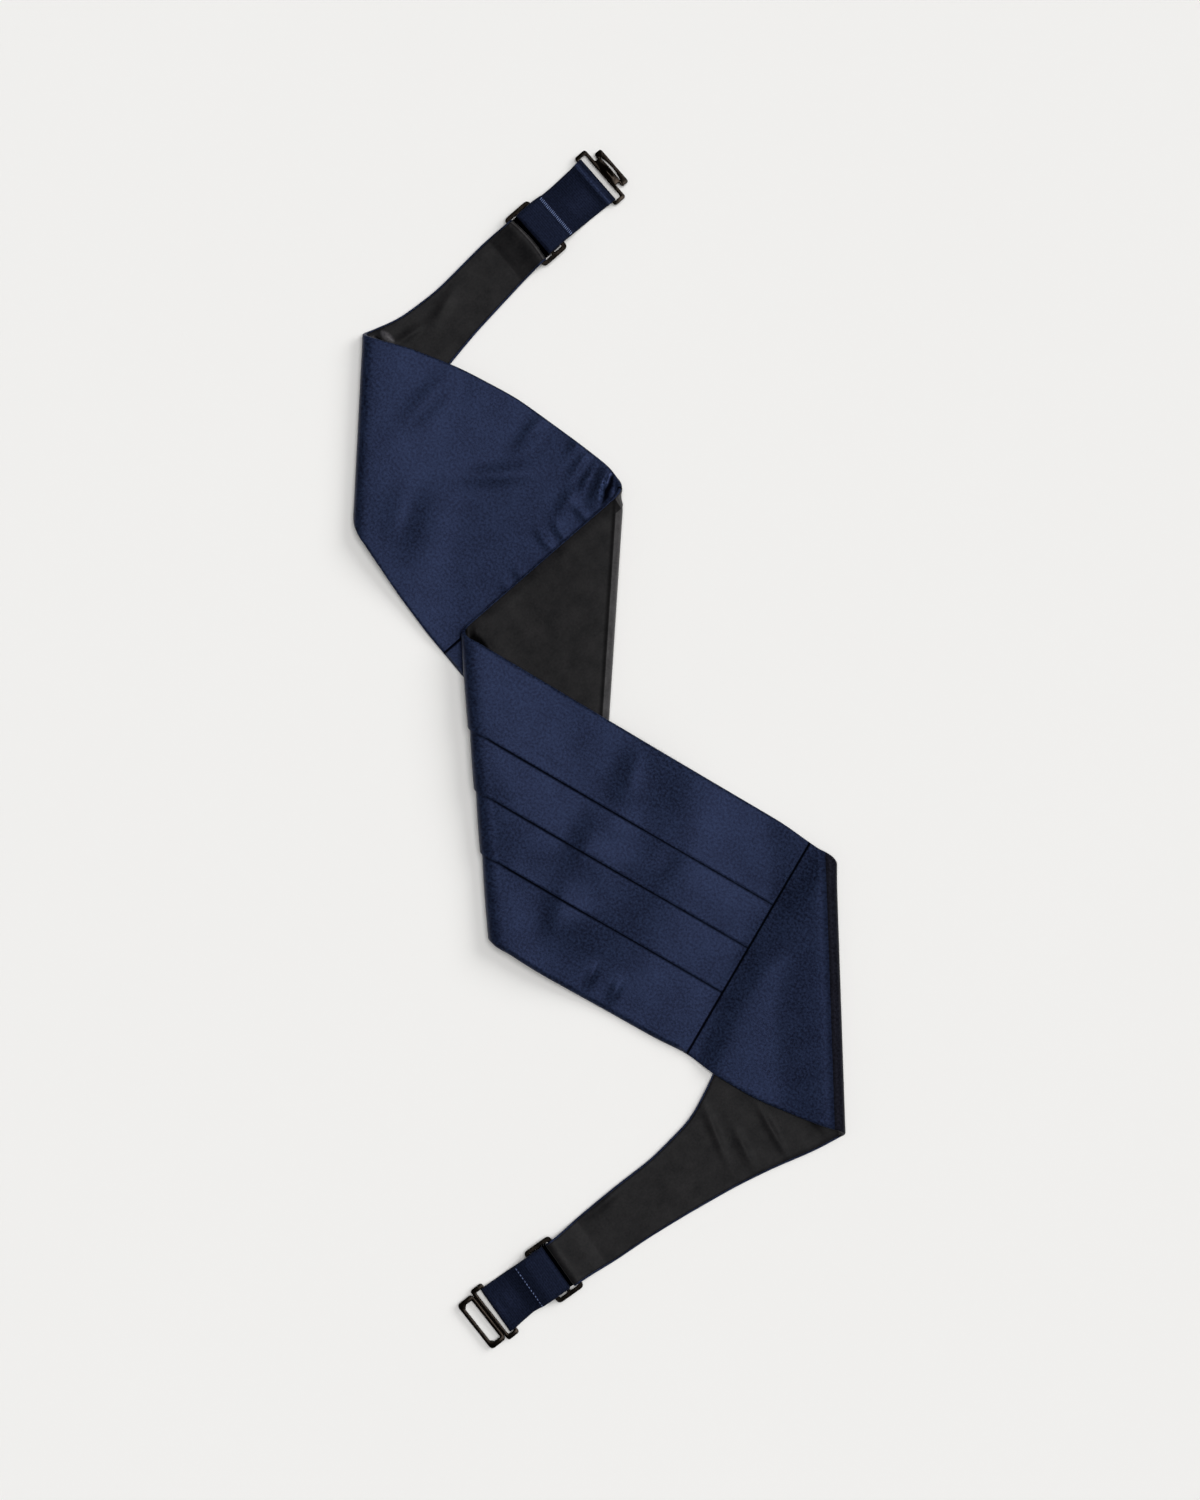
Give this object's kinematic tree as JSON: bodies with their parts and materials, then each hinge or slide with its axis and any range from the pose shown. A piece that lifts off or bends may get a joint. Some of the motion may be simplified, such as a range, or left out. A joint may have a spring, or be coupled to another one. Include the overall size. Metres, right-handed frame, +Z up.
{
  "type": "cummerbund",
  "caption": "Pleated satin waist sash with tapering lined wings, strap sliders and a hook and eye clasp, folded in a zigzag and laid flat.",
  "frame": {"origin": "under the middle of the folded sash, on the surface it lies on", "axes": "+X to the right and +Y up the length of the folded sash as seen from above, hook end at +Y, +Z up"},
  "size_m": [0.2456, 0.5984, 0.0142],
  "materials": {
    "satin": "navy satin weave with a soft sheen",
    "lining": "black plain lining, matte",
    "strap": "navy satin strap, its underside black",
    "metal": "glossy black plated metal"
  },
  "bodies": {
    "root": {"front_satin": "satin", "front_lining": "lining", "hook_wing_satin": "satin", "hook_wing_lining": "lining", "eye_wing_satin": "satin", "eye_wing_lining": "lining", "hook_strap": "strap", "hook_slider": "metal", "clasp_hook": "metal", "eye_strap": "strap", "eye_slider": "metal", "clasp_eye": "metal"}
  },
  "joints": []
}
